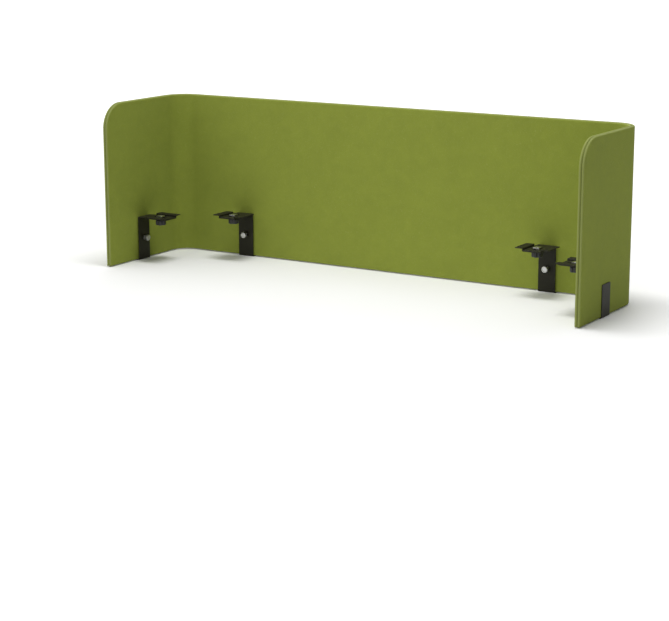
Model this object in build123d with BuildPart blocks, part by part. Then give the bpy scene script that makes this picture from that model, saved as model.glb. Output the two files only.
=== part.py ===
from build123d import *

import math
import os

# A U-shaped felt privacy panel that wraps the back and both ends of a desk.
# Two pressed felt skins close around a stiff core. Four steel straps carry the
# panel by its lower edge, and a slotted plate screwed under the desktop holds
# each strap. X runs along the desk, +Y towards its back edge, +Z up. The origin
# is below the middle of the whole part, level with the undersides of the straps.
# Every size is in millimetres.

# The desk that the panel goes round.
desk_width = 1600.0
desk_gap = 9.5            # between the desktop's edge and the felt
desk_underside = 150.0    # above the undersides of the straps

# The panel.
panel_height = 520.0
panel_depth = 406.0       # a wing's front edge to the back's outer face
panel_thickness = 18.0
corner_radius = 78.0      # outer face, seen from above
wing_nose_radius = 80.0   # top front corner of a wing, seen from the side
skin_thickness = 3.0
rim_width = 7.0           # felt turned over the edge of the core
edge_flat = 0.4           # left between the two rounds of a skin's edge
seam_gap = 0.2            # between the two skins' rims
glue_gap = 0.1            # between the core and the felt, and between core pieces
tongue_length = 14.0
tongue_thickness = 4.0

# The straps.
sheet = 2.5               # thickness of the strap and of the desk plate
bend_inside = 2.25        # inside radius of the strap's bends
strap_width = 56.0
strap_corner = 2.5
outer_leaf_height = 97.0
wing_strap_setback = 170.0   # a wing's front edge to its strap's centre
back_strap_spread = 1092.0   # between the centres of the back's two straps

# The pinch screw and its pressure plate.
pinch_height = 72.0
pinch_travel = 1.5
pressure_width = 46.0
pressure_height = 64.0
pressure_thickness = 2.0
pressure_corner = 5.0
thread_radius = 3.0
thread_pitch = 1.0
thread_clearance = 0.05
hole_clearance = 0.3
tip_radius = 2.0
tip_length = 1.6
weld_nut_width = 13.0
weld_nut_height = 5.0
thumb_radius = 10.0
thumb_height = 9.0
thumb_gap = 4.0           # between the screw's head and the weld nut
knurl_radius = 0.7
knurl_count = 20

# The desk plate, which slides on the strap's flange.
plate_length = 80.0
plate_travel = 20.0       # each way
plate_bend_gap = 9.0      # between the strap's leaf and the plate, pushed right in
flange_margin = 12.0      # steel beyond the slot
ear_width = 24.0
plate_bend_inside = 0.5   # inside radius of the plate's bends
ear_hole_radius = 2.5
ear_hole_spacing = 50.0
guide_clearance = 0.4     # each side of the flange
running_gap = 0.1         # between flat faces that slide
desktop_gap = 0.8         # between the T-nut and the desktop

# The lock: a T-nut above the flange, a washer and a knob on a stud below.
t_nut_width = 20.0
t_nut_height = 4.5
boss_length = 14.0
boss_width = 8.4
washer_radius = 10.0
washer_thickness = 1.6
knob_radius = 17.0
knob_height = 15.0
knob_edge_radius = 2.0
knob_neck_radius = 9.0
knob_neck_height = 3.0
knob_lobes = 6
scallop_radius = 7.0
scallop_depth = 2.6
stud_depth_in_knob = 11.0
lock_travel = 3.0

# Places that follow from the sizes above.
outer_width = desk_width + 2 * (desk_gap + panel_thickness)
front = -(panel_depth + sheet) / 2
back = front + panel_depth
bottom = sheet
top = bottom + panel_height
middle = panel_thickness / 2
shoulder_radius = middle / 2   # round of a skin's edge at its open face
seam_radius = middle - seam_gap / 2 - shoulder_radius - edge_flat   # and at the other skin
core_inset = skin_thickness + glue_gap
core_rim = rim_width + glue_gap
leaf_gap = pressure_thickness + pinch_travel
leaf_face = panel_thickness + leaf_gap + sheet
t_nut_underside = desk_underside - desktop_gap - t_nut_height
flange_top = t_nut_underside - running_gap
flange_underside = flange_top - sheet
floor_top = flange_underside - running_gap
floor_underside = floor_top - sheet
slide_center = leaf_face + plate_bend_gap + plate_travel + plate_length / 2
slot_length = boss_length + 2 * (plate_travel + hole_clearance)
slot_width = boss_width + 2 * hole_clearance
flange_end = slide_center + slot_length / 2 + flange_margin
trough_half_width = strap_width / 2 + guide_clearance
ear_center = trough_half_width + sheet + ear_width / 2
washer_underside = floor_underside - running_gap - washer_thickness
stud_foot = washer_underside - running_gap - stud_depth_in_knob

up = Vector(0, 0, 1)

# Where each strap stands: a point under the panel's outer face, and the way inwards.
wing_strap_y = front + wing_strap_setback
sites = {
    "left_wing": (Vector(-outer_width / 2, wing_strap_y), Vector(1, 0, 0)),
    "right_wing": (Vector(outer_width / 2, wing_strap_y), Vector(-1, 0, 0)),
    "left_back": (Vector(-back_strap_spread / 2, back), Vector(0, -1, 0)),
    "right_back": (Vector(back_strap_spread / 2, back), Vector(0, -1, 0)),
}


def section_plane(site):
    """A slice across the panel at a strap: x inwards, y up."""
    foot, inward = sites[site]
    return Plane(foot, x_dir=inward, z_dir=inward.cross(up))


def level_plane(site, reach, height):
    """A level plane: x inwards from a point `reach` inside the outer face."""
    foot, inward = sites[site]
    return Plane(foot + inward * reach + up * height, x_dir=inward, z_dir=up)


def facing_plane(site, reach, height):
    """An upright plane that faces inwards: x along the panel, y up."""
    foot, inward = sites[site]
    return Plane(foot + inward * reach + up * height, x_dir=up.cross(inward), z_dir=inward)


def save(piece, name):
    """Label a finished piece and write it as its own file."""
    piece.part.label = name
    export_step(piece.part, f"parts/{name}.step")


def wrap_outline(inset, rim, mode=Mode.ADD):
    """The area inside the panel's outer face, `inset` from it and `rim` from the front."""
    side = outer_width / 2 - inset
    with BuildLine() as outline:
        FilletPolyline(
            (-side, front + rim),
            (-side, back - inset),
            (side, back - inset),
            (side, front + rim),
            radius=corner_radius - inset,
        )
        Line((side, front + rim), (-side, front + rim))
    make_face(outline.edges(), mode=mode)


def round_noses(solid, rim):
    """Round the top front corner of both wings, `rim` inside the panel's edge."""
    across = solid.edges().filter_by(Axis.X).group_by(Axis.Y)[0]
    fillet(across.group_by(Axis.Z)[-1], radius=wing_nose_radius - rim)


def long_edges(solid):
    """The straight edges along the back, which the edges of the wings run on from."""
    return solid.edges().filter_by(Axis.X).group_by(SortBy.LENGTH)[-1]


def make_core_space():
    """The hollow between the two skins."""
    with BuildPart() as space:
        with BuildSketch(Plane.XY.offset(bottom + rim_width)):
            wrap_outline(skin_thickness, rim_width)
            wrap_outline(panel_thickness - skin_thickness, rim_width, Mode.SUBTRACT)
        extrude(amount=panel_height - 2 * rim_width)
        round_noses(space, rim_width)
    return space.part


def make_skin(name, face_inset, seam_inset, core_space):
    """One felt skin, from its open face to the seam in the middle of the edge."""
    with BuildPart() as skin:
        with BuildSketch(Plane.XY.offset(bottom)):
            wrap_outline(min(face_inset, seam_inset), 0)
            wrap_outline(max(face_inset, seam_inset), 0, Mode.SUBTRACT)
        extrude(amount=panel_height)
        round_noses(skin, 0)
        faces_back = face_inset < seam_inset
        fillet(long_edges(skin).group_by(Axis.Y)[-1 if faces_back else 0], radius=shoulder_radius)
        fillet(long_edges(skin).group_by(Axis.Y)[0 if faces_back else -1], radius=seam_radius)
        add(core_space, mode=Mode.SUBTRACT)
    save(skin, name)


def tongues(width, length, mode):
    """The tongues that key the corner formers into the boards, seen from above."""
    line = outer_width / 2 - middle
    for side in (-1, 1):
        with Locations((side * (outer_width / 2 - corner_radius), back - middle)):
            Rectangle(2 * length, width, mode=mode)
        with Locations((side * line, back - corner_radius)):
            Rectangle(width, 2 * length, mode=mode)


def make_core_piece(name, low, high, keyed):
    """A piece of the core between two corners of a rectangle seen from above."""
    with BuildPart() as piece:
        with BuildSketch(Plane.XY.offset(bottom + core_rim)):
            wrap_outline(core_inset, core_rim)
            wrap_outline(panel_thickness - core_inset, core_rim, Mode.SUBTRACT)
            with Locations(((low[0] + high[0]) / 2, (low[1] + high[1]) / 2)):
                Rectangle(high[0] - low[0], high[1] - low[1], mode=Mode.INTERSECT)
            if keyed:
                tongues(tongue_thickness + 2 * glue_gap, tongue_length + glue_gap, Mode.SUBTRACT)
        extrude(amount=panel_height - 2 * core_rim)
        if low[1] < 0:
            round_noses(piece, core_rim)
    save(piece, name)


def make_corner_former(name, side):
    """The bent piece of the core in a corner, with a tongue into each board."""
    corner_x = side * (outer_width / 2 - corner_radius)
    corner_y = back - corner_radius
    start = glue_gap                        # from the board's end to the former's
    reach = corner_radius - start
    with BuildPart() as former:
        with BuildSketch(Plane.XY.offset(bottom + core_rim)):
            wrap_outline(core_inset, core_rim)
            wrap_outline(panel_thickness - core_inset, core_rim, Mode.SUBTRACT)
            with Locations((corner_x + side * (start + reach / 2), corner_y + start + reach / 2)):
                Rectangle(reach, reach, mode=Mode.INTERSECT)
            with Locations((corner_x + side * (start - tongue_length / 2), back - middle)):
                Rectangle(tongue_length, tongue_thickness)
            with Locations((side * (outer_width / 2 - middle), corner_y + start - tongue_length / 2)):
                Rectangle(tongue_thickness, tongue_length)
        extrude(amount=panel_height - 2 * core_rim)
    save(former, name)


def make_strap(site):
    """A steel strap: up the outer face, under the edge, up inside and in below the desk."""
    inner_leaf = leaf_face - sheet / 2
    flange_level = (flange_underside + flange_top) / 2
    with BuildPart() as strap:
        with BuildSketch(section_plane(site)):
            with BuildLine():
                FilletPolyline(
                    (-sheet / 2, outer_leaf_height),
                    (-sheet / 2, sheet / 2),
                    (inner_leaf, sheet / 2),
                    (inner_leaf, flange_level),
                    (flange_end, flange_level),
                    radius=bend_inside + sheet / 2,
                )
            trace(line_width=sheet)
        extrude(amount=strap_width / 2, both=True)
        through = strap.edges().filter_by(Axis((0, 0, 0), sites[site][1]))
        fillet(
            through.filter_by_position(Axis.Z, outer_leaf_height - 1, outer_leaf_height + 1),
            radius=strap_corner,
        )
        flange_corners = strap.edges().filter_by(Axis.Z).sort_by(Axis(sites[site][0], sites[site][1]))
        fillet(flange_corners[-2:], radius=strap_corner)
        with BuildSketch(level_plane(site, slide_center, flange_underside)):
            SlotOverall(slot_length, slot_width)
        extrude(amount=sheet, mode=Mode.SUBTRACT)
        with BuildSketch(facing_plane(site, leaf_face - sheet, pinch_height)):
            Circle(thread_radius + hole_clearance)
        extrude(amount=sheet, mode=Mode.SUBTRACT)
    save(strap, f"{site}_strap")


def make_weld_nut(site):
    """The square nut welded to the strap's inner leaf."""
    with BuildPart() as nut:
        with BuildSketch(facing_plane(site, leaf_face, pinch_height)):
            Rectangle(weld_nut_width, weld_nut_width)
            Circle(thread_radius + thread_clearance, mode=Mode.SUBTRACT)
        extrude(amount=weld_nut_height)
    save(nut, f"{site}_weld_nut")


def make_pressure_plate(site):
    """The plate that the pinch screw pushes against the felt."""
    with BuildPart() as plate:
        with BuildSketch(facing_plane(site, panel_thickness, pinch_height)):
            RectangleRounded(pressure_width, pressure_height, pressure_corner)
            Circle(tip_radius + thread_clearance, mode=Mode.SUBTRACT)
        extrude(amount=pressure_thickness)
    save(plate, f"{site}_pressure_plate")


def make_pinch_screw(site):
    """The thumb screw through the weld nut; its turned-down tip carries the plate."""
    shoulder = panel_thickness + pressure_thickness + thread_clearance
    head = leaf_face + weld_nut_height + thumb_gap
    with BuildPart() as screw:
        with BuildSketch(facing_plane(site, shoulder - tip_length, pinch_height)):
            Circle(tip_radius)
        extrude(amount=tip_length)
        with BuildSketch(facing_plane(site, shoulder, pinch_height)):
            Circle(thread_radius)
        extrude(amount=head - shoulder)
        with BuildSketch(facing_plane(site, head, pinch_height)):
            Circle(thumb_radius)
            with PolarLocations(thumb_radius, knurl_count):
                Circle(knurl_radius, mode=Mode.SUBTRACT)
        extrude(amount=thumb_height)
    save(screw, f"{site}_pinch_screw")


def make_desk_plate(site):
    """The pressed plate screwed under the desktop; its trough guides the flange."""
    ear_level = desk_underside - sheet / 2
    floor_level = floor_top - sheet / 2
    wall = trough_half_width + sheet / 2
    ear_end = trough_half_width + sheet + ear_width
    with BuildPart() as plate:
        with BuildSketch(facing_plane(site, slide_center, 0)):
            with BuildLine():
                FilletPolyline(
                    (-ear_end, ear_level),
                    (-wall, ear_level),
                    (-wall, floor_level),
                    (wall, floor_level),
                    (wall, ear_level),
                    (ear_end, ear_level),
                    radius=plate_bend_inside + sheet / 2,
                )
            trace(line_width=sheet)
        extrude(amount=plate_length / 2, both=True)
        with BuildSketch(level_plane(site, slide_center, desk_underside)):
            with GridLocations(ear_hole_spacing, 2 * ear_center, 2, 2):
                Circle(ear_hole_radius)
        extrude(amount=-sheet, mode=Mode.SUBTRACT)
        with BuildSketch(level_plane(site, slide_center, floor_top)):
            Circle(thread_radius + hole_clearance)
        extrude(amount=-sheet, mode=Mode.SUBTRACT)
        ear_ends = facing_plane(site, slide_center, 0).x_dir
        upright = plate.edges().filter_by(Axis.Z).group_by(Axis(sites[site][0], ear_ends))
        fillet(upright[0] + upright[-1], radius=strap_corner)
    save(plate, f"{site}_desk_plate")


def make_t_nut(site):
    """The nut above the flange, with a boss that slides in the slot."""
    with BuildPart() as nut:
        with BuildSketch(level_plane(site, slide_center, t_nut_underside)):
            Rectangle(t_nut_width, t_nut_width)
        extrude(amount=t_nut_height)
        with BuildSketch(level_plane(site, slide_center, t_nut_underside)):
            SlotOverall(boss_length, boss_width)
        extrude(amount=flange_underside - t_nut_underside)
        with BuildSketch(level_plane(site, slide_center, flange_underside)):
            Circle(thread_radius + thread_clearance)
        extrude(amount=desk_underside - flange_underside, mode=Mode.SUBTRACT)
    save(nut, f"{site}_t_nut")


def make_washer(site):
    """The washer between the plate and the knob."""
    with BuildPart() as washer:
        with BuildSketch(level_plane(site, slide_center, washer_underside)):
            Circle(washer_radius)
            Circle(thread_radius + hole_clearance, mode=Mode.SUBTRACT)
        extrude(amount=washer_thickness)
    save(washer, f"{site}_washer")


def make_stud(site):
    """The threaded stud moulded into the lock knob."""
    with BuildPart() as stud:
        with BuildSketch(level_plane(site, slide_center, stud_foot)):
            Circle(thread_radius)
        extrude(amount=t_nut_underside + t_nut_height - stud_foot)
    save(stud, f"{site}_stud")


def make_knob(site):
    """The lobed plastic knob that locks the slide."""
    neck_top = washer_underside - running_gap
    with BuildPart() as knob:
        with BuildSketch(level_plane(site, slide_center, neck_top - knob_neck_height)):
            Circle(knob_radius)
            with PolarLocations(knob_radius + scallop_radius - scallop_depth, knob_lobes):
                Circle(scallop_radius, mode=Mode.SUBTRACT)
        extrude(amount=-knob_height)
        fillet(knob.faces().sort_by(Axis.Z)[0].edges(), radius=knob_edge_radius)
        with BuildSketch(level_plane(site, slide_center, neck_top)):
            Circle(knob_neck_radius)
        extrude(amount=-knob_neck_height)
        with BuildSketch(level_plane(site, slide_center, neck_top)):
            Circle(thread_radius + thread_clearance)
        extrude(amount=-stud_depth_in_knob, mode=Mode.SUBTRACT)
    save(knob, f"{site}_knob")


os.makedirs("parts", exist_ok=True)

core_space = make_core_space()
make_skin("outer_skin", 0, middle - seam_gap / 2, core_space)
make_skin("inner_skin", panel_thickness, middle + seam_gap / 2, core_space)

straight_x = outer_width / 2 - corner_radius
straight_y = back - corner_radius
make_core_piece("back_board", (-straight_x, straight_y), (straight_x, back), True)
make_core_piece("left_wing_board", (-outer_width / 2, front), (-straight_x, straight_y), True)
make_core_piece("right_wing_board", (straight_x, front), (outer_width / 2, straight_y), True)
make_corner_former("left_corner_former", -1)
make_corner_former("right_corner_former", 1)

for site in sites:
    make_strap(site)
    make_weld_nut(site)
    make_pressure_plate(site)
    make_pinch_screw(site)
    make_desk_plate(site)
    make_t_nut(site)
    make_washer(site)
    make_stud(site)
    make_knob(site)
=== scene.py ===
import math

import bmesh
import bpy
from mathutils import Matrix, Vector, geometry, noise


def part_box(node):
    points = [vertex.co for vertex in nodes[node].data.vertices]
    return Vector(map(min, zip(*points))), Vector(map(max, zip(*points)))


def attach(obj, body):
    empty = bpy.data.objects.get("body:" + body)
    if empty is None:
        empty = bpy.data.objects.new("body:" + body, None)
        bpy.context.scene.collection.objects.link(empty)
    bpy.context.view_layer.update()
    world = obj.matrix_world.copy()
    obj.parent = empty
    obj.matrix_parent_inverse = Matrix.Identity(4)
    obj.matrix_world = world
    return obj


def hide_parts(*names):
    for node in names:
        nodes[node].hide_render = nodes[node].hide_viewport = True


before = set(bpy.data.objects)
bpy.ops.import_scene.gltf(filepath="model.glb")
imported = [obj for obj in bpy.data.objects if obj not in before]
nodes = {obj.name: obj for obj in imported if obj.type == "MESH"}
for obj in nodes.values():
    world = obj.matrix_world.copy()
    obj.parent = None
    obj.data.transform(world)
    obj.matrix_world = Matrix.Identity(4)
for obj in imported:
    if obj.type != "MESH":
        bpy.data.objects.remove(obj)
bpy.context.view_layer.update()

siteNames = ["left_wing", "right_wing", "left_back", "right_back"]
scene = bpy.context.scene
scene.view_settings.view_transform = "Standard"
print("frame loaded:", len(nodes), "nodes")


# camera: in front and well to the right, looking down a little
cameraValues = {
    "place": Vector((2.793, -4.655, 1.155)),
    "turn": 0.5548,        # radians to the left of straight ahead
    "dip": 0.2248,         # radians below the horizon
    "roll": -0.002,
    "lens": 97.05,         # millimetres, on a sensor 36 wide
    "sensor": 36.0,
}


def makeCamera(values):
    data = bpy.data.cameras.new("camera")
    data.lens = values["lens"]
    data.sensor_width = values["sensor"]
    data.clip_end = 60
    camera = bpy.data.objects.new("camera", data)
    scene.collection.objects.link(camera)
    aim = Matrix.Rotation(values["turn"], 4, "Z") @ Matrix.Rotation(math.pi / 2 - values["dip"], 4, "X")
    camera.matrix_world = Matrix.Translation(values["place"]) @ aim @ Matrix.Rotation(values["roll"], 4, "Z")
    scene.camera = camera


makeCamera(cameraValues)
print("camera placed")


# small helpers
def addObject(name, data):
    made = bpy.data.objects.new(name, data)
    scene.collection.objects.link(made)
    return made


def bakeModifiers(piece):
    # leaves the finished shape as a plain mesh on the same object
    graph = bpy.context.evaluated_depsgraph_get()
    finished = piece.evaluated_get(graph)
    mesh = bpy.data.meshes.new_from_object(finished, preserve_all_data_layers=True, depsgraph=graph)
    piece.modifiers.clear()
    piece.data = mesh


def shadeSmooth(mesh):
    mesh.polygons.foreach_set("use_smooth", [True] * len(mesh.polygons))
    mesh.update()


def settle(piece, body, slot, material, *replaced):
    # one call for what every finished piece needs
    piece.data.materials.clear()
    piece.data.materials.append(material)
    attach(piece, body)
    if replaced:
        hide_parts(*replaced)
    return piece


def addNode(tree, kind, **settings):
    made = tree.nodes.new(kind)
    for name, value in settings.items():
        setattr(made, name, value)
    return made


def feed(tree, socket, value):
    if isinstance(value, bpy.types.NodeSocket):
        tree.links.new(value, socket)
    else:
        socket.default_value = value


def addMath(tree, operation, first, second=0.0, clamp=False):
    made = addNode(tree, "ShaderNodeMath", operation=operation, use_clamp=clamp)
    feed(tree, made.inputs[0], first)
    feed(tree, made.inputs[1], second)
    return made.outputs[0]


def addBlend(tree, first, share, second):
    # a weighted sum of two values
    firstPart = addMath(tree, "MULTIPLY", first, share)
    return addMath(tree, "ADD", firstPart, addMath(tree, "MULTIPLY", second, 1 - share))


def addMix(tree, share, first, second):
    made = addNode(tree, "ShaderNodeMix", data_type="RGBA")
    feed(tree, made.inputs["Factor"], share)
    feed(tree, made.inputs["A"], first)
    feed(tree, made.inputs["B"], second)
    return made.outputs["Result"]


def addRange(tree, value, low, high, toLow=0.0, toHigh=1.0):
    made = addNode(tree, "ShaderNodeMapRange")
    for socket, given in zip(made.inputs, (value, low, high, toLow, toHigh)):
        feed(tree, socket, given)
    return made.outputs["Result"]


def addNoise(tree, place, scale, detail=2.0, rough=0.5, distortion=0.0, kind="FBM"):
    made = addNode(tree, "ShaderNodeTexNoise", noise_type=kind, normalize=True)
    feed(tree, made.inputs["Vector"], place)
    feed(tree, made.inputs["Scale"], scale)
    feed(tree, made.inputs["Detail"], detail)
    feed(tree, made.inputs["Roughness"], rough)
    feed(tree, made.inputs["Distortion"], distortion)
    return made.outputs["Fac"]


def newGroup(name, inputs, outputs):
    tree = bpy.data.node_groups.new(name, "ShaderNodeTree")
    for label, value in inputs.items():
        kind = "NodeSocketColor" if isinstance(value, tuple) else "NodeSocketFloat"
        tree.interface.new_socket(name=label, in_out="INPUT", socket_type=kind).default_value = value
    for label in outputs:
        kind = "NodeSocketColor" if label == "Color" else "NodeSocketFloat"
        tree.interface.new_socket(name=label, in_out="OUTPUT", socket_type=kind)
    return tree, tree.nodes.new("NodeGroupInput").outputs, tree.nodes.new("NodeGroupOutput").inputs


def objectPlace(tree):
    return addNode(tree, "ShaderNodeTexCoord").outputs["Object"]


# effects that several materials share
def makeFibreGroup():
    # pressed fibres: a cloudy mottle, fine tangled strands and a few pale hairs
    tree, given, out = newGroup(
        "pressedFibres",
        {"Strand Scale": 700.0, "Mottle Scale": 34.0, "Cloud Scale": 6.0},
        ["Strands", "Mottle", "Hairs", "Height"],
    )
    place = objectPlace(tree)
    strands = addNoise(tree, place, given["Strand Scale"], 5.0, 0.62, 1.2, "RIDGED_MULTIFRACTAL")
    grain = addNoise(tree, place, addMath(tree, "MULTIPLY", given["Strand Scale"], 2.1), 3.0, 0.6)
    mottle = addNoise(tree, place, given["Mottle Scale"], 4.0, 0.6, 0.5)
    cloud = addNoise(tree, place, given["Cloud Scale"], 3.0, 0.5)
    hairs = addNoise(tree, place, addMath(tree, "MULTIPLY", given["Strand Scale"], 0.45), 4.0, 0.55, 2.4)
    height = addBlend(tree, strands, 0.6, grain)
    feed(tree, out["Strands"], strands)
    mixed = addBlend(tree, mottle, 0.6, cloud)
    feed(tree, out["Mottle"], addRange(tree, mixed, 0.28, 0.72))
    feed(tree, out["Hairs"], addRange(tree, hairs, 0.58, 0.72))
    feed(tree, out["Height"], height)
    return tree


def makeEdgeGroup():
    # coating rubbed thin along the bevelled edges, broken up so that it isn't a drawn line
    tree, given, out = newGroup("rubbedEdges", {"Amount": 0.5, "Break Up": 140.0}, ["Mask"])
    edge = addNode(tree, "ShaderNodeAttribute", attribute_name="wornEdge").outputs["Fac"]
    patches = addRange(tree, addNoise(tree, objectPlace(tree), given["Break Up"], 4.0, 0.6), 0.36, 0.6)
    rubbed = addMath(tree, "MULTIPLY", edge, patches)
    feed(tree, out["Mask"], addMath(tree, "MULTIPLY", rubbed, given["Amount"]))
    return tree


def makeSurfaceGroup():
    # fine relief and uneven gloss: orange peel on powder coat, spark texture on plastic, grain on zinc
    tree, given, out = newGroup(
        "fineRelief",
        {"Relief Scale": 900.0, "Smudge Scale": 22.0, "Smudge": 0.1, "Roughness": 0.5},
        ["Height", "Roughness", "Smudges"],
    )
    place = objectPlace(tree)
    relief = addNoise(tree, place, given["Relief Scale"], 3.0, 0.55)
    smudges = addNoise(tree, place, given["Smudge Scale"], 4.0, 0.6, 0.4)
    centred = addMath(tree, "MULTIPLY", addMath(tree, "SUBTRACT", smudges, 0.5), given["Smudge"])
    feed(tree, out["Height"], relief)
    feed(tree, out["Roughness"], addMath(tree, "ADD", given["Roughness"], centred, clamp=True))
    feed(tree, out["Smudges"], smudges)
    return tree


fibreGroup = makeFibreGroup()
edgeGroup = makeEdgeGroup()
surfaceGroup = makeSurfaceGroup()


def startMaterial(name):
    material = bpy.data.materials.new(name)
    material.use_nodes = True
    return material, material.node_tree, material.node_tree.nodes["Principled BSDF"].inputs


def useGroup(tree, group, **values):
    made = addNode(tree, "ShaderNodeGroup", node_tree=group)
    for name, value in values.items():
        feed(tree, made.inputs[name.replace("_", " ")], value)
    return made.outputs


def addBump(tree, shader, height, values):
    bump = addNode(tree, "ShaderNodeBump")
    bump.inputs["Strength"].default_value = values["bumpStrength"]
    bump.inputs["Distance"].default_value = values["bumpDepth"]
    feed(tree, bump.inputs["Height"], height)
    feed(tree, shader["Normal"], bump.outputs["Normal"])


# materials
def makeFelt(name, values):
    material, tree, shader = startMaterial(name)
    fibres = useGroup(tree, fibreGroup, Strand_Scale=values["strandScale"],
                      Mottle_Scale=values["mottleScale"])
    edge = addNode(tree, "ShaderNodeAttribute", attribute_name="rimShare").outputs["Fac"]
    # rimShare runs from 0 on the face, over 1 on the rim's crest, to 2 in the seam
    # painted highlight: the rim's crest is mixed towards a lighter, greyer green, standing in for the rounded
    # edge catching the light and sheen
    crestHighlight = addMath(tree, "MULTIPLY", addRange(tree, edge, 0.15, 0.8), addRange(tree, edge, 1.5, 1.1))
    # painted shade: the felt is darkened in the seam groove between the two skins, where shade falls
    seam = addRange(tree, edge, 1.25, 1.75)
    body = addMix(tree, fibres["Mottle"], values["dark"], values["light"])
    layers = ((fibres["Strands"], "strand"), (fibres["Hairs"], "hair"), (crestHighlight, "crestHighlight"), (seam, "seam"))
    for mask, layer in layers:
        share = addMath(tree, "MULTIPLY", mask, values[layer + "Share"])
        body = addMix(tree, share, body, values[layer])
    feed(tree, shader["Base Color"], body)
    feed(tree, shader["Roughness"], addRange(tree, fibres["Mottle"], 0.2, 0.8, 0.86, 0.97))
    shader["Specular IOR Level"].default_value = 0.25
    shader["Sheen Weight"].default_value = values["sheen"]
    shader["Sheen Roughness"].default_value = 0.6
    shader["Sheen Tint"].default_value = values["hair"]
    addBump(tree, shader, fibres["Height"], values)
    return material


def makeCoated(name, values):
    # powder-coated steel
    material, tree, shader = startMaterial(name)
    surface = useGroup(tree, surfaceGroup, Relief_Scale=values["reliefScale"], Roughness=values["roughness"],
                       Smudge=0.14)
    worn = useGroup(tree, edgeGroup, Amount=values["wear"])["Mask"]
    coat = addMix(tree, surface["Smudges"], values["dark"], values["light"])
    feed(tree, shader["Base Color"], addMix(tree, worn, coat, values["bare"]))
    polish = addMath(tree, "MULTIPLY", worn, 0.2)
    feed(tree, shader["Roughness"], addMath(tree, "SUBTRACT", surface["Roughness"], polish))
    feed(tree, shader["Metallic"], addMath(tree, "MULTIPLY", worn, 0.6))
    shader["Specular IOR Level"].default_value = 0.2
    addBump(tree, shader, surface["Height"], values)
    return material


def makeZinc(values):
    material, tree, shader = startMaterial("brightZinc")
    surface = useGroup(tree, surfaceGroup, Relief_Scale=values["grainScale"], Roughness=values["roughness"],
                       Smudge=0.25, Smudge_Scale=90.0)
    worn = useGroup(tree, edgeGroup, Amount=0.6)["Mask"]
    plate = addMix(tree, surface["Smudges"], values["blue"], values["straw"])
    feed(tree, shader["Base Color"], addMix(tree, worn, plate, values["bright"]))
    feed(tree, shader["Roughness"], surface["Roughness"])
    shader["Metallic"].default_value = 1.0
    addBump(tree, shader, surface["Height"], values)
    return material


def makePlastic(values):
    material, tree, shader = startMaterial("knobPlastic")
    surface = useGroup(tree, surfaceGroup, Relief_Scale=values["sparkScale"], Roughness=values["roughness"],
                       Smudge=0.18)
    feed(tree, shader["Base Color"], addMix(tree, surface["Smudges"], values["dark"], values["light"]))
    feed(tree, shader["Roughness"], surface["Roughness"])
    addBump(tree, shader, surface["Height"], values)
    return material


def makeBoard(name, values):
    # chips and dust of fibreboard, or the long grain of bent plywood
    material, tree, shader = startMaterial(name)
    stretch = addNode(tree, "ShaderNodeMapping")
    feed(tree, stretch.inputs["Vector"], objectPlace(tree))
    stretch.inputs["Scale"].default_value = values["stretch"]
    grain = addNoise(tree, stretch.outputs["Vector"], values["scale"], 6.0, 0.65, 0.6)
    feed(tree, shader["Base Color"], addMix(tree, grain, values["dark"], values["light"]))
    feed(tree, shader["Roughness"], addRange(tree, grain, 0.2, 0.8, 0.7, 0.9))
    addBump(tree, shader, grain, values)
    return material


def makeThread(values):
    # twisted sewing thread
    material, tree, shader = startMaterial("seamThread")
    twist = addNoise(tree, objectPlace(tree), values["twistScale"], 3.0, 0.6, 1.0)
    feed(tree, shader["Base Color"], addMix(tree, twist, values["dark"], values["light"]))
    feed(tree, shader["Roughness"], addRange(tree, twist, 0.2, 0.8, 0.6, 0.85))
    shader["Sheen Weight"].default_value = 0.2
    addBump(tree, shader, twist, values)
    return material


feltValues = {
    "dark": (0.205, 0.245, 0.030, 1), "light": (0.245, 0.290, 0.040, 1),
    "strand": (0.165, 0.200, 0.022, 1), "strandShare": 0.55, "strandScale": 700.0,
    "hair": (0.42, 0.46, 0.16, 1), "hairShare": 0.42,
    # painted highlight along the rim's crest
    "crestHighlight": (0.232, 0.260, 0.084, 1), "crestHighlightShare": 0.85,
    # painted shade in the seam groove
    "seam": (0.135, 0.155, 0.042, 1), "seamShare": 0.6,
    "sheen": 0.12, "mottleScale": 34.0, "bumpStrength": 0.7, "bumpDepth": 0.0011,
}
strapValues = {
    "dark": (0.012, 0.0115, 0.005, 1), "light": (0.021, 0.0205, 0.010, 1), "bare": (0.20, 0.19, 0.17, 1),
    "roughness": 0.5, "wear": 0.5, "reliefScale": 950.0, "bumpStrength": 0.5, "bumpDepth": 0.0005,
}
plateValues = dict(strapValues, roughness=0.55, wear=0.6, reliefScale=1200.0)
zincValues = {
    "blue": (0.50, 0.53, 0.57, 1), "straw": (0.60, 0.57, 0.50, 1), "bright": (0.75, 0.75, 0.76, 1),
    "roughness": 0.33, "grainScale": 1500.0, "bumpStrength": 0.12, "bumpDepth": 0.0001,
}
plasticValues = {
    "dark": (0.014, 0.014, 0.015, 1), "light": (0.024, 0.024, 0.025, 1),
    "roughness": 0.5, "sparkScale": 1800.0, "bumpStrength": 0.3, "bumpDepth": 0.0002,
}
boardValues = {
    "dark": (0.30, 0.20, 0.11, 1), "light": (0.50, 0.37, 0.23, 1),
    "scale": 260.0, "stretch": (1, 1, 1), "bumpStrength": 0.3, "bumpDepth": 0.0003,
}
formerValues = dict(
    boardValues, dark=(0.38, 0.25, 0.13, 1), light=(0.60, 0.45, 0.28, 1), scale=120.0, stretch=(1, 1, 0.08),
)
threadValues = {
    "dark": (0.135, 0.155, 0.038, 1), "light": (0.24, 0.27, 0.085, 1),
    "twistScale": 1400.0, "bumpStrength": 0.4, "bumpDepth": 0.0002,
}

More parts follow.
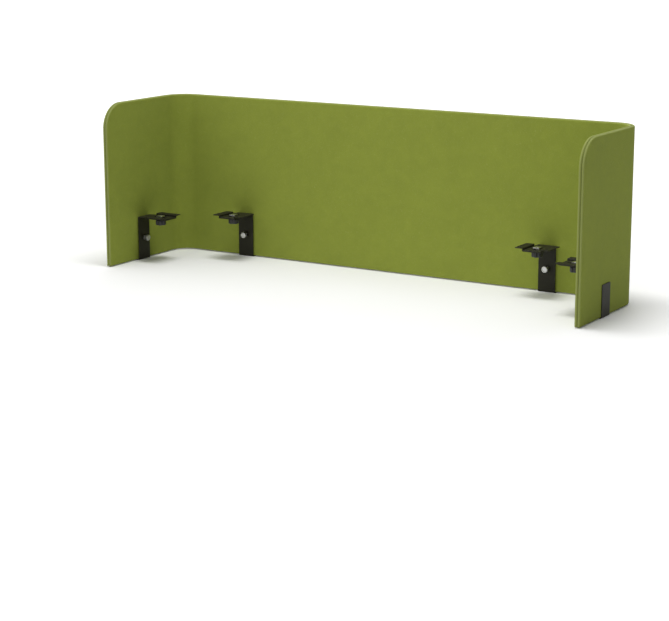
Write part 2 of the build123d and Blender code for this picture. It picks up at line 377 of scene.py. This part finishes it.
outerFelt = makeFelt("outerFelt", feltValues)
innerFelt = makeFelt("innerFelt", dict(feltValues, strandScale=640.0, mottleScale=29.0))
strapCoat = makeCoated("strapCoat", strapValues)
plateCoat = makeCoated("plateCoat", plateValues)
brightZinc = makeZinc(zincValues)
knobPlastic = makePlastic(plasticValues)
fibreboard = makeBoard("fibreboard", boardValues)
bentPly = makeBoard("bentPly", formerValues)
seamThread = makeThread(threadValues)
print("materials made")


# the felt panel, worked out flat and then wrapped round the desk
outerLow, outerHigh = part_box("outer_skin")
panelValues = {
    "thickness": 0.018,
    "cornerRadius": 0.078,     # outer face, from above
    "noseRadius": 0.080,       # top front corner of a wing
    "shoulderRadius": 0.0045,
    "seamRadius": 0.004,
    "halfSeamGap": 0.0001,
    "rimWidth": 0.007,
    "feltThickness": 0.003,
    "outlineStep": 0.008,
    "faceStep": 0.011,
    "liningStep": 0.020,       # inside, where the felt lies on the core
    "roundSteps": 8,
    "swell": 0.00022,          # how far the face wanders in and out
    "swellSize": 0.11,
    "swellFade": 0.03,
    "swellShift": 3.1,         # so that the two skins wander differently
    "faceGap": 0.0015,         # between the rounded edge and the filled face
    "liningGap": 0.002,
    "bendPoints": 8,           # more points round a nose than along the straights
}
halfThickness = panelValues["thickness"] / 2
middleRadius = panelValues["cornerRadius"] - halfThickness
wingLength = outerHigh.y - panelValues["cornerRadius"] - outerLow.y
bendLength = middleRadius * math.pi / 2
backLength = outerHigh.x - outerLow.x - 2 * panelValues["cornerRadius"]
wrapLength = 2 * (wingLength + bendLength) + backLength


def wrapPoint(along, height, offset):
    # from the flat panel to its place: offset is outwards from the middle of the thickness
    centreX = outerHigh.x - panelValues["cornerRadius"]
    centreY = outerHigh.y - panelValues["cornerRadius"]
    fromMiddle = along - wrapLength / 2
    side = 1 if fromMiddle > 0 else -1
    beyond = abs(fromMiddle) - backLength / 2
    if beyond <= 0:
        return Vector((fromMiddle, centreY + middleRadius + offset, height))
    if beyond < bendLength:
        turn = beyond / middleRadius
        reach = middleRadius + offset
        return Vector((side * (centreX + reach * math.sin(turn)), centreY + reach * math.cos(turn), height))
    return Vector((side * (centreX + middleRadius + offset), centreY - (beyond - bendLength), height))


def panelOutline():
    # points round the flat panel's edge, each with the way inwards
    nose, step = panelValues["noseRadius"], panelValues["outlineStep"]
    low, high, end = outerLow.z, outerHigh.z, wrapLength
    found = []

    def run(start, stop, inward, corner=None):
        count = round((Vector(stop) - Vector(start)).length / step)
        for i in range(count):
            way = corner if corner and i == 0 else inward
            found.append((Vector(start).lerp(Vector(stop), i / count), Vector(way)))

    def bend(centre, startTurn):
        count = 2 * round(nose * math.pi / 4 / step) + panelValues["bendPoints"]
        for i in range(count):
            turn = startTurn + math.pi / 2 * i / count
            way = Vector((math.cos(turn), math.sin(turn)))
            found.append((Vector(centre) + nose * way, -way))

    run((0, low), (end, low), (0, 1), (1, 1))
    run((end, low), (end, high - nose), (-1, 0), (-1, 1))
    bend((end - nose, high - nose), 0)
    run((end - nose, high), (nose, high), (0, -1))
    bend((nose, high - nose), math.pi / 2)
    run((0, high - nose), (0, low), (1, 0))
    return found


def edgeDistance(along, height):
    nose, high = panelValues["noseRadius"], outerHigh.z
    side = min(along, wrapLength - along)
    above = high - height
    near = min(side, above, height - outerLow.z)
    if side < nose and above < nose:
        near = min(near, nose - math.hypot(nose - side, nose - above))
    return near


def fillFlat(loop, margin, step):
    # triangles inside a closed loop of the flat panel, with evenly spaced points between
    inset, stagger, rowPitch, clear = 0.6, 0.5, 0.87, 0.55    # all as shares of a step
    points = list(loop)
    row = 0
    height = outerLow.z + margin + step * inset
    while height < outerHigh.z - margin:
        along = margin + step * (inset + stagger * (row % 2))
        while along < wrapLength - margin:
            if edgeDistance(along, height) > margin + step * clear:
                points.append(Vector((along, height)))
            along += step
        height += step * rowPitch
        row += 1
    ring = [(i, (i + 1) % len(loop)) for i in range(len(loop))]
    filled = geometry.delaunay_2d_cdt(points, ring, [], 1, 1e-7)
    return points, [[filled[3][i][0] for i in face] for face in filled[2]]


def rimProfile():
    # (distance in from the edge, offset from the middle, rimShare) from the open face to the seam
    shoulder, seam, gap = (panelValues[k] for k in ("shoulderRadius", "seamRadius", "halfSeamGap"))
    steps = panelValues["roundSteps"]
    profile = []
    for i in range(steps + 1):
        turn = math.pi / 2 * i / steps
        offset = halfThickness - shoulder * (1 - math.cos(turn))
        profile.append((shoulder * (1 - math.sin(turn)), offset, i / steps))
    for i in range(steps + 1):
        turn = math.pi / 2 * i / steps
        profile.append((seam * (1 - math.cos(turn)), gap + seam * (1 - math.sin(turn)), 1 + i / steps))
    profile.append((panelValues["rimWidth"], gap, 2))
    profile.append((panelValues["rimWidth"], halfThickness - panelValues["feltThickness"], 2))
    return profile


def makeSkin(name, side, slot, material, replaced):
    outline = panelOutline()
    faceMargin = panelValues["shoulderRadius"] + panelValues["faceGap"]
    liningMargin = panelValues["rimWidth"] + panelValues["liningGap"]
    faceLoop = [point + inward * faceMargin for point, inward in outline]
    liningLoop = [point + inward * liningMargin for point, inward in outline]
    facePoints, faceTriangles = fillFlat(faceLoop, faceMargin, panelValues["faceStep"])
    liningPoints, liningTriangles = fillFlat(liningLoop, liningMargin, panelValues["liningStep"])
    size = len(outline)
    points, shares, faces = [], [], list(faceTriangles)
    for point in facePoints:
        near = edgeDistance(point.x, point.y)
        fade = min(1, max(0, (near - faceMargin) / panelValues["swellFade"]))
        spot = Vector((point.x, point.y, panelValues["swellShift"] * side))
        wander = noise.noise(spot / panelValues["swellSize"])
        offset = halfThickness + panelValues["swell"] * wander * fade
        points.append(wrapPoint(point.x, point.y, side * offset))
        shares.append(0.0)
    previous = list(range(size))
    for distance, offset, share in rimProfile():
        start = len(points)
        for point, inward in outline:
            place = point + inward * distance
            points.append(wrapPoint(place.x, place.y, side * offset))
            shares.append(share)
        ring = list(range(start, start + size))
        faces += [[previous[i], previous[(i + 1) % size], ring[(i + 1) % size], ring[i]] for i in range(size)]
        previous = ring
    start = len(points)
    for point in liningPoints:
        points.append(wrapPoint(point.x, point.y, side * (halfThickness - panelValues["feltThickness"])))
        shares.append(2.0)
    faces += [[previous[i], previous[(i + 1) % size], start + (i + 1) % size, start + i] for i in range(size)]
    faces += [[start + i for i in reversed(face)] for face in liningTriangles]
    mesh = bpy.data.meshes.new(name)
    mesh.from_pydata(points, [], faces)
    mesh.attributes.new("rimShare", "FLOAT", "POINT").data.foreach_set("value", shares)
    work = bmesh.new()
    work.from_mesh(mesh)
    bmesh.ops.recalc_face_normals(work, faces=work.faces)
    work.to_mesh(mesh)
    work.free()
    shadeSmooth(mesh)
    return settle(addObject(name, mesh), "screen", slot, material, replaced)


makeSkin("feltOuterSkin", 1, "outer_felt", outerFelt, "outer_skin")
makeSkin("feltInnerSkin", -1, "inner_felt", innerFelt, "inner_skin")
print("felt skins wrapped")


# repeats along a line: one tree for the stitches and for the weld beads
def makeRepeatTree():
    tree = bpy.data.node_groups.new("repeatAlongLine", "GeometryNodeTree")
    tree.interface.new_socket(name="Line", in_out="INPUT", socket_type="NodeSocketGeometry")
    for label, kind in (("Pitch", "Float"), ("Length", "Float"), ("Radius", "Float"), ("Wobble", "Float"),
                        ("Seed", "Int"), ("Material", "Material")):
        tree.interface.new_socket(name=label, in_out="INPUT", socket_type="NodeSocket" + kind)
    tree.interface.new_socket(name="Pieces", in_out="OUTPUT", socket_type="NodeSocketGeometry")
    given = tree.nodes.new("NodeGroupInput").outputs
    out = tree.nodes.new("NodeGroupOutput").inputs
    curve = addNode(tree, "GeometryNodeMeshToCurve")
    feed(tree, curve.inputs["Mesh"], given["Line"])
    spaced = addNode(tree, "GeometryNodeResampleCurve", mode="LENGTH")
    feed(tree, spaced.inputs["Curve"], curve.outputs["Curve"])
    feed(tree, spaced.inputs["Length"], given["Pitch"])
    bead = addNode(tree, "GeometryNodeMeshUVSphere")
    bead.inputs["Segments"].default_value = 8
    bead.inputs["Rings"].default_value = 6
    bead.inputs["Radius"].default_value = 1
    proportions = addNode(tree, "ShaderNodeCombineXYZ")
    feed(tree, proportions.inputs["X"], addMath(tree, "MULTIPLY", given["Length"], 0.5))
    feed(tree, proportions.inputs["Y"], given["Radius"])
    feed(tree, proportions.inputs["Z"], given["Radius"])
    shaped = addNode(tree, "GeometryNodeTransform")
    feed(tree, shaped.inputs["Geometry"], bead.outputs["Mesh"])
    feed(tree, shaped.inputs["Scale"], proportions.outputs["Vector"])
    turned = addNode(tree, "FunctionNodeAlignRotationToVector", axis="X")
    feed(tree, turned.inputs["Vector"], addNode(tree, "GeometryNodeInputTangent").outputs["Tangent"])
    varied = addNode(tree, "FunctionNodeRandomValue", data_type="FLOAT")
    feed(tree, varied.inputs["Min"], addMath(tree, "SUBTRACT", 1.0, given["Wobble"]))
    feed(tree, varied.inputs["Max"], addMath(tree, "ADD", 1.0, given["Wobble"]))
    feed(tree, varied.inputs["Seed"], given["Seed"])
    placed = addNode(tree, "GeometryNodeInstanceOnPoints")
    feed(tree, placed.inputs["Points"], spaced.outputs["Curve"])
    feed(tree, placed.inputs["Instance"], shaped.outputs["Geometry"])
    feed(tree, placed.inputs["Rotation"], turned.outputs["Rotation"])
    feed(tree, placed.inputs["Scale"], varied.outputs["Value"])
    real = addNode(tree, "GeometryNodeRealizeInstances")
    feed(tree, real.inputs["Geometry"], placed.outputs["Instances"])
    smooth = addNode(tree, "GeometryNodeSetShadeSmooth")
    feed(tree, smooth.inputs["Geometry"], real.outputs["Geometry"])
    finished = addNode(tree, "GeometryNodeSetMaterial")
    feed(tree, finished.inputs["Geometry"], smooth.outputs["Geometry"])
    feed(tree, finished.inputs["Material"], given["Material"])
    feed(tree, out["Pieces"], finished.outputs["Geometry"])
    return tree


repeatTree = makeRepeatTree()


def repeatAlong(name, loops, slot, material, values):
    # loops of points become one mesh of small rounded pieces, riding on the panel
    points, edges = [], []
    for loop in loops:
        start = len(points)
        points += loop
        edges += [(start + i, start + (i + 1) % len(loop)) for i in range(len(loop))]
    mesh = bpy.data.meshes.new(name)
    mesh.from_pydata(points, edges, [])
    piece = addObject(name, mesh)
    modifier = piece.modifiers.new("repeat", "NODES")
    modifier.node_group = repeatTree
    given = dict(values, Material=material)
    for item in repeatTree.interface.items_tree:
        if item.in_out == "INPUT" and item.name in given:
            modifier[item.identifier] = given[item.name]
    bakeModifiers(piece)
    return settle(piece, "screen", slot, material)


# lock stitches down in the groove between the two felt skins
stitchValues = {"Pitch": 0.0068, "Length": 0.0058, "Radius": 0.0007, "Wobble": 0.06, "Seed": 7}
stitchDepth = 0.0015
seamLine = []
for seamPoint, seamInward in panelOutline():
    seamPlace = seamPoint + seamInward * stitchDepth
    seamLine.append(wrapPoint(seamPlace.x, seamPlace.y, 0))
repeatAlong("seamStitches", [seamLine], "outer_felt", seamThread, stitchValues)
print("seam sewn")


# each clamp has its own frame: in from the panel's outer face, across, and up
class Clamp:
    def __init__(self, site):
        low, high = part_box(site + "_weld_nut")
        middle = (low + high) / 2
        self.site = site
        if "wing" in site:
            self.inward = Vector((-1 if middle.x > 0 else 1, 0, 0))
            self.foot = Vector((outerHigh.x if middle.x > 0 else outerLow.x, middle.y, 0))
        else:
            self.inward = Vector((0, -1, 0))
            self.foot = Vector((middle.x, outerHigh.y, 0))
        self.across = Vector((0, 0, 1)).cross(self.inward)

    def place(self, depth, across, height):
        return self.foot + self.inward * depth + self.across * across + Vector((0, 0, height))


clamps = [Clamp(site) for site in siteNames]
clampValues = {
    # depths are inwards from the panel's outer face, heights are above the straps' undersides
    "pinchHeight": 0.072,
    "leafFace": 0.024,
    "lockCentre": 0.093,
    "studFoot": 0.1267, "studTop": 0.1492, "studSides": 32,
    "creaseAngle": math.radians(38),
}


def ringSolid(name, rings):
    # rings of points, one after another, closed with a cap at each end
    count = len(rings[0])
    points = [point for ring in rings for point in ring]
    faces = []
    for row in range(len(rings) - 1):
        base = row * count
        for i in range(count):
            j = (i + 1) % count
            faces.append([base + i, base + j, base + count + j, base + count + i])
    faces.append(list(range(count)))
    faces.append([len(points) - count + i for i in range(count)])
    mesh = bpy.data.meshes.new(name)
    mesh.from_pydata(points, [], faces)
    work = bmesh.new()
    work.from_mesh(mesh)
    bmesh.ops.recalc_face_normals(work, faces=work.faces)
    for edge in work.edges:
        if len(edge.link_faces) == 2 and edge.calc_face_angle(0) > clampValues["creaseAngle"]:
            edge.smooth = False
    work.to_mesh(mesh)
    work.free()
    shadeSmooth(mesh)
    return addObject(name, mesh)


def ringAt(toWorld, along, radius, count):
    # radius may be a number or a rule that gives it for each turn
    ring = []
    for i in range(count):
        turn = 2 * math.pi * i / count
        reach = radius(turn) if callable(radius) else radius
        ring.append(toWorld(along, reach * math.cos(turn), reach * math.sin(turn)))
    return ring


helixValues = {
    "radius": 0.003, "pitch": 0.001, "depth": 0.00055,
    "rowsPerPitch": 6,
    "steepness": 1.25,         # over 1 leaves the ridge a flat top
}


def threadRings(toWorld, start, stop, count, handed):
    # a helical ridge, faded out at both ends
    radius, pitch, depth = (helixValues[k] for k in ("radius", "pitch", "depth"))
    rows = math.ceil((stop - start) / pitch * helixValues["rowsPerPitch"])
    rings = []
    for row in range(rows + 1):
        along = start + (stop - start) * row / rows
        fade = min(1, min(along - start, stop - along) / pitch)

        def reach(turn):
            phase = (along / pitch + handed * turn / (2 * math.pi)) % 1
            ridge = 1 - abs(2 * phase - 1)
            return radius - depth + depth * fade * min(1, helixValues["steepness"] * ridge)

        rings.append(ringAt(toWorld, along, reach, count))
    return rings


screwValues = {
    "shoulder": 0.02005,
    "tipRadius": 0.002, "tipLength": 0.0016, "tipEase": 0.0003,
    "headStart": 0.033, "headLength": 0.009, "headRadius": 0.010,
    "knurlCount": 20, "knurlDepth": 0.0007, "knurlStop": 0.0015,
    "sidesPerKnurl": 8,
    # (past the front of the head, in from the knurl's grooves), with 0 for the knurl itself
    "frontEdge": ((0, 0.0012), (0.0005, 0.0003), (0.0011, 0)),
    # (short of its end, in from its radius), then (short of its end, radius)
    "endEdge": ((0.0009, 0.0009), (0.0002, 0.0014), (0, 0.0024)),
    "endDish": ((0, 0.0066), (0.0009, 0.0058), (0.0009, 0.0012)),
}


def knurlRule(radius):
    values = screwValues

    def reach(turn):
        phase = (turn * values["knurlCount"] / (2 * math.pi)) % 1
        return radius - values["knurlDepth"] * (0.5 + 0.5 * math.cos(2 * math.pi * phase)) ** 2

    return reach


def makePinchScrew(clamp):
    values = screwValues
    count = values["knurlCount"] * values["sidesPerKnurl"]

    def toWorld(along, side, up):
        return clamp.place(along, side, clampValues["pinchHeight"] + up)

    shoulder, head, end = values["shoulder"], values["headStart"], values["headStart"] + values["headLength"]
    tip, ease, radius = values["tipRadius"], values["tipEase"], values["headRadius"]
    rings = [ringAt(toWorld, shoulder - values["tipLength"], tip - ease, count)]
    rings.append(ringAt(toWorld, shoulder - values["tipLength"] + ease, tip, count))
    rings.append(ringAt(toWorld, shoulder, tip, count))
    rings += threadRings(toWorld, shoulder, head, count, 1)
    for past, cut in values["frontEdge"]:
        reach = radius - cut - values["knurlDepth"] if cut else knurlRule(radius)
        rings.append(ringAt(toWorld, head + past, reach, count))
    rings.append(ringAt(toWorld, end - values["knurlStop"], knurlRule(radius), count))
    for short, cut in values["endEdge"]:
        rings.append(ringAt(toWorld, end - short, radius - cut, count))
    for short, reach in values["endDish"]:
        rings.append(ringAt(toWorld, end - short, reach, count))
    piece = ringSolid(clamp.site + "ThumbScrew", rings)
    return settle(piece, clamp.site + "_screw", "zinc", brightZinc, clamp.site + "_pinch_screw")


def makeStud(clamp):
    values = clampValues

    def toWorld(along, side, forth):
        return clamp.place(values["lockCentre"] + forth, side, along)

    rings = threadRings(toWorld, values["studFoot"], values["studTop"], values["studSides"], -1)
    piece = ringSolid(clamp.site + "LockStud", rings)
    return settle(piece, clamp.site + "_lock", "zinc", brightZinc, clamp.site + "_stud")


knobValues = {
    "radius": 0.017, "height": 0.015, "top": 0.1347,
    "neckTop": 0.1377, "neckRadius": 0.009,
    "lobeCount": 6, "scallopRadius": 0.007, "scallopDepth": 0.0026, "lobeSoftness": 0.0012,
    "boreEase": 0.0003, "neckEase": 0.0005,
    "topEdge": 0.0009, "topSteps": 3,
    "footEdge": 0.002, "footSteps": 5,
    "dish": ((0, 0.0105), (0.0006, 0.0099), (0.0006, 0.0012)),    # (above the foot, radius)
    "sides": 144,
}


def lobeRule(radius):
    # round outline with scallops, its cusps rounded over
    values = knobValues
    reachOut = values["radius"] + values["scallopRadius"] - values["scallopDepth"]

    def reach(turn):
        step = 2 * math.pi / values["lobeCount"]
        off = (turn + step / 2) % step - step / 2
        side = reachOut * math.sin(off)
        if abs(side) >= values["scallopRadius"]:
            return radius
        scallop = reachOut * math.cos(off) - math.sqrt(values["scallopRadius"] ** 2 - side ** 2)
        scallop -= values["radius"] - radius
        soft = values["lobeSoftness"]
        share = min(1, max(0, 0.5 + 0.5 * (radius - scallop) / soft))
        return radius + (scallop - radius) * share - soft * share * (1 - share) * 0.5

    return reach


def makeKnob(clamp):
    # moulded knob: blind hole, neck, lobed grip with soft edges, dished underside
    values = knobValues
    count = values["sides"]

    def toWorld(along, side, forth):
        return clamp.place(clampValues["lockCentre"] + forth, side, along)

    bore, neck, grip = helixValues["radius"], values["neckRadius"], values["radius"]
    neckTop, top, foot = values["neckTop"], values["top"], values["top"] - values["height"]
    boreEase, neckEase = values["boreEase"], values["neckEase"]
    rows = [(clampValues["studFoot"], bore), (neckTop - boreEase, bore), (neckTop, bore + boreEase),
            (neckTop, neck - neckEase), (neckTop - neckEase, neck),
            (top + neckEase, neck), (top, neck + neckEase)]
    rings = [ringAt(toWorld, along, radius, count) for along, radius in rows]
    edge, steps = values["topEdge"], values["topSteps"]
    for i in range(steps + 1):
        turn = math.pi / 2 * i / steps
        rule = lobeRule(grip - edge * (1 - math.sin(turn)))
        rings.append(ringAt(toWorld, top - edge * (1 - math.cos(turn)), rule, count))
    edge, steps = values["footEdge"], values["footSteps"]
    for i in range(steps + 1):
        turn = math.pi / 2 * i / steps
        rule = lobeRule(grip - edge * (1 - math.cos(turn)))
        rings.append(ringAt(toWorld, foot + edge * (1 - math.sin(turn)), rule, count))
    for height, radius in values["dish"]:
        rings.append(ringAt(toWorld, foot + height, radius, count))
    piece = ringSolid(clamp.site + "LockKnob", rings)
    return settle(piece, clamp.site + "_lock", "knob_plastic", knobPlastic, clamp.site + "_knob")


weldValues = {"nutWidth": 0.013, "outside": 0.0004, "lift": 0.0003}


def weldLoop(clamp):
    # the foot of the weld nut, on the strap's inner leaf
    half = weldValues["nutWidth"] / 2 + weldValues["outside"]
    depth = clampValues["leafFace"] + weldValues["lift"]
    corners = ((-half, -half), (half, -half), (half, half), (-half, half))
    return [clamp.place(depth, side, clampValues["pinchHeight"] + up) for side, up in corners]


easeValues = {
    "mergeDistance": 1e-6, "flatAngle": math.radians(0.6),
    "sharpAngle": math.radians(40), "segments": 2, "flatWeight": 100,
    "plateTrim": 0.0001,
}


def softenNode(node, body, slot, material, width, trim):
    # a merged copy of the CAD mesh with its sheared edges eased; the eased faces carry the wear
    # a trim takes a hair off the side that it points away from
    mesh = nodes[node].data.copy()
    work = bmesh.new()
    work.from_mesh(mesh)
    bmesh.ops.remove_doubles(work, verts=work.verts, dist=easeValues["mergeDistance"])
    bmesh.ops.dissolve_limit(work, angle_limit=easeValues["flatAngle"], verts=work.verts, edges=work.edges)
    low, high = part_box(node)
    middle = (low + high) / 2
    for vertex in work.verts:
        if (vertex.co - middle).dot(trim) < 0:
            vertex.co += trim
    work.to_mesh(mesh)
    work.free()
    mesh.materials.clear()
    mesh.materials.append(material)
    mesh.materials.append(material)
    shadeSmooth(mesh)
    piece = addObject(node + "Eased", mesh)
    bevel = piece.modifiers.new("ease", "BEVEL")
    bevel.width = width
    bevel.segments = easeValues["segments"]
    bevel.limit_method = "ANGLE"
    bevel.angle_limit = easeValues["sharpAngle"]
    bevel.material = 1
    even = piece.modifiers.new("even", "WEIGHTED_NORMAL")    # flats shade flat, eased edges shade round
    even.weight = easeValues["flatWeight"]
    bakeModifiers(piece)
    worn = [float(face.material_index == 1) for face in piece.data.polygons]
    piece.data.attributes.new("wornEdge", "FLOAT", "FACE").data.foreach_set("value", worn)
    for face in piece.data.polygons:
        face.material_index = 0
    return settle(piece, body, slot, material, node)


easedParts = {
    # CAD piece: body, slot, finish, edge width
    "strap": ("screen", "strap_black", strapCoat, 0.0004),
    "weld_nut": ("screen", "zinc", brightZinc, 0.0006),
    "pressure_plate": ("{}_pad", "plate_black", plateCoat, 0.0003),
    "desk_plate": ("{}_slider", "plate_black", plateCoat, 0.0003),
    "t_nut": ("{}_slider", "zinc", brightZinc, 0.0004),
    "washer": ("{}_lock_washer", "zinc", brightZinc, 0.0002),
}
for clamp in clamps:
    for part, (body, slot, material, width) in easedParts.items():
        # the plate stops just short of the strap when the screw is backed right off
        trim = clamp.inward * (-easeValues["plateTrim"] if part == "pressure_plate" else 0)
        softenNode(f"{clamp.site}_{part}", body.format(clamp.site), slot, material, width, trim)
    makePinchScrew(clamp)
    makeStud(clamp)
    makeKnob(clamp)
beadValues = {"Pitch": 0.0013, "Length": 0.0026, "Radius": 0.0011, "Wobble": 0.12, "Seed": 3}
repeatAlong("weldBeads", [weldLoop(clamp) for clamp in clamps], "strap_black", strapCoat, beadValues)
print("clamps finished")


# the core stays inside the felt, and shows only if the felt is taken off
def showNode(node, material):
    mesh = nodes[node].data
    mesh.materials.clear()
    mesh.materials.append(material)


for coreName in ("back_board", "left_wing_board", "right_wing_board"):
    showNode(coreName, fibreboard)
for coreName in ("left_corner_former", "right_corner_former"):
    showNode(coreName, bentPly)
print("core finished")


# pale floor that fades to white, a soft sky that is brighter on the left, and soft lamps above and behind
studioValues = {
    "floor": (0.88, 0.88, 0.88, 1),
    "fadeStart": 0.8, "fadeEnd": 4.5, "fadeStrength": 0.5,
    "floorReach": 30,
    "skyLeft": 1.05, "skyRight": 0.04, "skyFrom": -0.1, "skyTo": 0.9,
    "fillPlace": (-0.4, 3.2, 2.2), "fillTarget": (0, 0.2, 0.2), "fillSize": (2.4, 1.6), "fillPower": 12.0,
    "topPlace": (0.1, -0.2, 3.4), "topTarget": (0.1, 0, 0), "topSize": (1.6, 0.8), "topPower": 60.0,
}


def makeFloor():
    mesh = bpy.data.meshes.new("floor")
    reach = studioValues["floorReach"]
    corners = [(-reach, -reach, 0), (reach, -reach, 0), (reach, reach, 0), (-reach, reach, 0)]
    mesh.from_pydata(corners, [], [(0, 1, 2, 3)])
    floor = addObject("floor", mesh)
    material, tree, shader = startMaterial("paleFloor")
    shader["Base Color"].default_value = studioValues["floor"]
    place = objectPlace(tree)
    feed(tree, shader["Roughness"], addRange(tree, addNoise(tree, place, 3.0), 0.3, 0.7, 0.65, 0.75))
    length = addNode(tree, "ShaderNodeVectorMath", operation="LENGTH")
    feed(tree, length.inputs[0], place)
    shader["Emission Color"].default_value = (1, 1, 1, 1)
    fade = addRange(tree, length.outputs["Value"], studioValues["fadeStart"], studioValues["fadeEnd"], 0.0,
                    studioValues["fadeStrength"])
    seen = addNode(tree, "ShaderNodeLightPath").outputs["Is Camera Ray"]    # so the fade lights nothing
    feed(tree, shader["Emission Strength"], addMath(tree, "MULTIPLY", fade, seen))
    mesh.materials.append(material)


def makeWorld():
    world = bpy.data.worlds.new("studio")
    world.use_nodes = True
    tree = world.node_tree
    background = tree.nodes["Background"].inputs
    background["Color"].default_value = (1, 1, 1, 1)
    split = addNode(tree, "ShaderNodeSeparateXYZ")
    feed(tree, split.inputs["Vector"], addNode(tree, "ShaderNodeTexCoord").outputs["Generated"])
    skyRange = (studioValues[k] for k in ("skyFrom", "skyTo", "skyLeft", "skyRight"))
    strength = addRange(tree, split.outputs["X"], *skyRange)
    # past the floor it just looks white
    seen = addNode(tree, "ShaderNodeLightPath").outputs["Is Camera Ray"]
    feed(tree, background["Strength"], addMath(tree, "MAXIMUM", strength, seen))
    scene.world = world


def areaLight(name, place, target, size, power):
    data = bpy.data.lights.new(name, "AREA")
    data.shape = "RECTANGLE"
    data.size, data.size_y = size
    data.energy = power
    lamp = addObject(name, data)
    lamp.location = place
    lamp.rotation_euler = (Vector(target) - Vector(place)).to_track_quat("-Z", "Y").to_euler()


makeFloor()
makeWorld()
for lampName in ("top", "fill"):
    areaLight(lampName, *(studioValues[lampName + k] for k in ("Place", "Target", "Size", "Power")))
print("studio lit")
